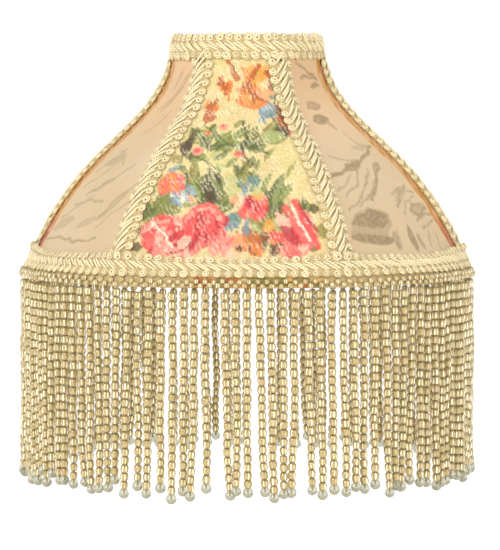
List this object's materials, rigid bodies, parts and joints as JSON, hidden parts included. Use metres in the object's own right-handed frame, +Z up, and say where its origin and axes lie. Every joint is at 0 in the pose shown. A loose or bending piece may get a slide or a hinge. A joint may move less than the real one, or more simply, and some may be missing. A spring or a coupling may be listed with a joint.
{
  "type": "lamp shade",
  "caption": "Bell-shaped fabric lamp shade on a wire frame with a recessed spider fitter, alternate floral and damask panels, scroll braid and a swinging beaded fringe.",
  "frame": {"origin": "centre of the fitter washer's hole, in the plane of the washer's underside, which rests on the harp", "axes": "+Z up along the shade's axis, so the harp leaves the fitter along -Z; -Y is the front, the middle of a floral panel; +X is the middle of a rib"},
  "size_m": [0.2034, 0.2034, 0.1965],
  "materials": {
    "frame_wire": "satin",
    "brass_fitter": "satin",
    "floral_tapestry": "matte",
    "damask_cloth": "satin",
    "lining_cloth": "matte",
    "braid": "matte",
    "fringe_tape": "matte",
    "glass_beads": "polished"
  },
  "bodies": {
    "shade": {"top_ring": "frame_wire", "bottom_ring": "frame_wire", "fitter_washer": "brass_fitter", "spider_arm_1": "frame_wire", "spider_arm_2": "frame_wire", "spider_arm_3": "frame_wire", "rib_1": "frame_wire", "rib_2": "frame_wire", "rib_3": "frame_wire", "rib_4": "frame_wire", "rib_5": "frame_wire", "rib_6": "frame_wire", "floral_panel_1": "floral_tapestry", "floral_panel_2": "floral_tapestry", "floral_panel_3": "floral_tapestry", "damask_panel_1": "damask_cloth", "damask_panel_2": "damask_cloth", "damask_panel_3": "damask_cloth", "lining": "lining_cloth", "top_braid": "braid", "bottom_braid": "braid", "rib_braid_1": "braid", "rib_braid_2": "braid", "rib_braid_3": "braid", "rib_braid_4": "braid", "rib_braid_5": "braid", "rib_braid_6": "braid", "fringe_tape": "fringe_tape"},
    "fringe_01": {"fringe_group_01": "glass_beads"},
    "fringe_02": {"fringe_group_02": "glass_beads"},
    "fringe_03": {"fringe_group_03": "glass_beads"},
    "fringe_04": {"fringe_group_04": "glass_beads"},
    "fringe_05": {"fringe_group_05": "glass_beads"},
    "fringe_06": {"fringe_group_06": "glass_beads"},
    "fringe_07": {"fringe_group_07": "glass_beads"},
    "fringe_08": {"fringe_group_08": "glass_beads"},
    "fringe_09": {"fringe_group_09": "glass_beads"},
    "fringe_10": {"fringe_group_10": "glass_beads"},
    "fringe_11": {"fringe_group_11": "glass_beads"},
    "fringe_12": {"fringe_group_12": "glass_beads"},
    "fringe_13": {"fringe_group_13": "glass_beads"},
    "fringe_14": {"fringe_group_14": "glass_beads"},
    "fringe_15": {"fringe_group_15": "glass_beads"},
    "fringe_16": {"fringe_group_16": "glass_beads"},
    "fringe_17": {"fringe_group_17": "glass_beads"},
    "fringe_18": {"fringe_group_18": "glass_beads"},
    "fringe_19": {"fringe_group_19": "glass_beads"},
    "fringe_20": {"fringe_group_20": "glass_beads"}
  },
  "joints": [
    {"name": "fringe_swing_01", "type": "hinge", "parent": "shade", "child": "fringe_01", "pos_m": [0.09778, 0.01549, -0.09385], "axis": [0.1564, -0.9877, 0], "range_deg": [-1, 25]},
    {"name": "fringe_swing_02", "type": "hinge", "parent": "shade", "child": "fringe_02", "pos_m": [0.08821, 0.04494, -0.09385], "axis": [0.454, -0.891, 0], "range_deg": [-1, 25]},
    {"name": "fringe_swing_03", "type": "hinge", "parent": "shade", "child": "fringe_03", "pos_m": [0.07, 0.07, -0.09385], "axis": [0.7071, -0.7071, 0], "range_deg": [-1, 25]},
    {"name": "fringe_swing_04", "type": "hinge", "parent": "shade", "child": "fringe_04", "pos_m": [0.04494, 0.08821, -0.09385], "axis": [0.891, -0.454, 0], "range_deg": [-1, 25]},
    {"name": "fringe_swing_05", "type": "hinge", "parent": "shade", "child": "fringe_05", "pos_m": [0.01549, 0.09778, -0.09385], "axis": [0.9877, -0.1564, 0], "range_deg": [-1, 25]},
    {"name": "fringe_swing_06", "type": "hinge", "parent": "shade", "child": "fringe_06", "pos_m": [-0.01549, 0.09778, -0.09385], "axis": [0.9877, 0.1564, 0], "range_deg": [-1, 25]},
    {"name": "fringe_swing_07", "type": "hinge", "parent": "shade", "child": "fringe_07", "pos_m": [-0.04494, 0.08821, -0.09385], "axis": [0.891, 0.454, 0], "range_deg": [-1, 25]},
    {"name": "fringe_swing_08", "type": "hinge", "parent": "shade", "child": "fringe_08", "pos_m": [-0.07, 0.07, -0.09385], "axis": [0.7071, 0.7071, 0], "range_deg": [-1, 25]},
    {"name": "fringe_swing_09", "type": "hinge", "parent": "shade", "child": "fringe_09", "pos_m": [-0.08821, 0.04494, -0.09385], "axis": [0.454, 0.891, 0], "range_deg": [-1, 25]},
    {"name": "fringe_swing_10", "type": "hinge", "parent": "shade", "child": "fringe_10", "pos_m": [-0.09778, 0.01549, -0.09385], "axis": [0.1564, 0.9877, 0], "range_deg": [-1, 25]},
    {"name": "fringe_swing_11", "type": "hinge", "parent": "shade", "child": "fringe_11", "pos_m": [-0.09778, -0.01549, -0.09385], "axis": [-0.1564, 0.9877, 0], "range_deg": [-1, 25]},
    {"name": "fringe_swing_12", "type": "hinge", "parent": "shade", "child": "fringe_12", "pos_m": [-0.08821, -0.04494, -0.09385], "axis": [-0.454, 0.891, 0], "range_deg": [-1, 25]},
    {"name": "fringe_swing_13", "type": "hinge", "parent": "shade", "child": "fringe_13", "pos_m": [-0.07, -0.07, -0.09385], "axis": [-0.7071, 0.7071, 0], "range_deg": [-1, 25]},
    {"name": "fringe_swing_14", "type": "hinge", "parent": "shade", "child": "fringe_14", "pos_m": [-0.04494, -0.08821, -0.09385], "axis": [-0.891, 0.454, 0], "range_deg": [-1, 25]},
    {"name": "fringe_swing_15", "type": "hinge", "parent": "shade", "child": "fringe_15", "pos_m": [-0.01549, -0.09778, -0.09385], "axis": [-0.9877, 0.1564, 0], "range_deg": [-1, 25]},
    {"name": "fringe_swing_16", "type": "hinge", "parent": "shade", "child": "fringe_16", "pos_m": [0.01549, -0.09778, -0.09385], "axis": [-0.9877, -0.1564, 0], "range_deg": [-1, 25]},
    {"name": "fringe_swing_17", "type": "hinge", "parent": "shade", "child": "fringe_17", "pos_m": [0.04494, -0.08821, -0.09385], "axis": [-0.891, -0.454, 0], "range_deg": [-1, 25]},
    {"name": "fringe_swing_18", "type": "hinge", "parent": "shade", "child": "fringe_18", "pos_m": [0.07, -0.07, -0.09385], "axis": [-0.7071, -0.7071, 0], "range_deg": [-1, 25]},
    {"name": "fringe_swing_19", "type": "hinge", "parent": "shade", "child": "fringe_19", "pos_m": [0.08821, -0.04494, -0.09385], "axis": [-0.454, -0.891, 0], "range_deg": [-1, 25]},
    {"name": "fringe_swing_20", "type": "hinge", "parent": "shade", "child": "fringe_20", "pos_m": [0.09778, -0.01549, -0.09385], "axis": [-0.1564, -0.9877, 0], "range_deg": [-1, 25]}
  ]
}
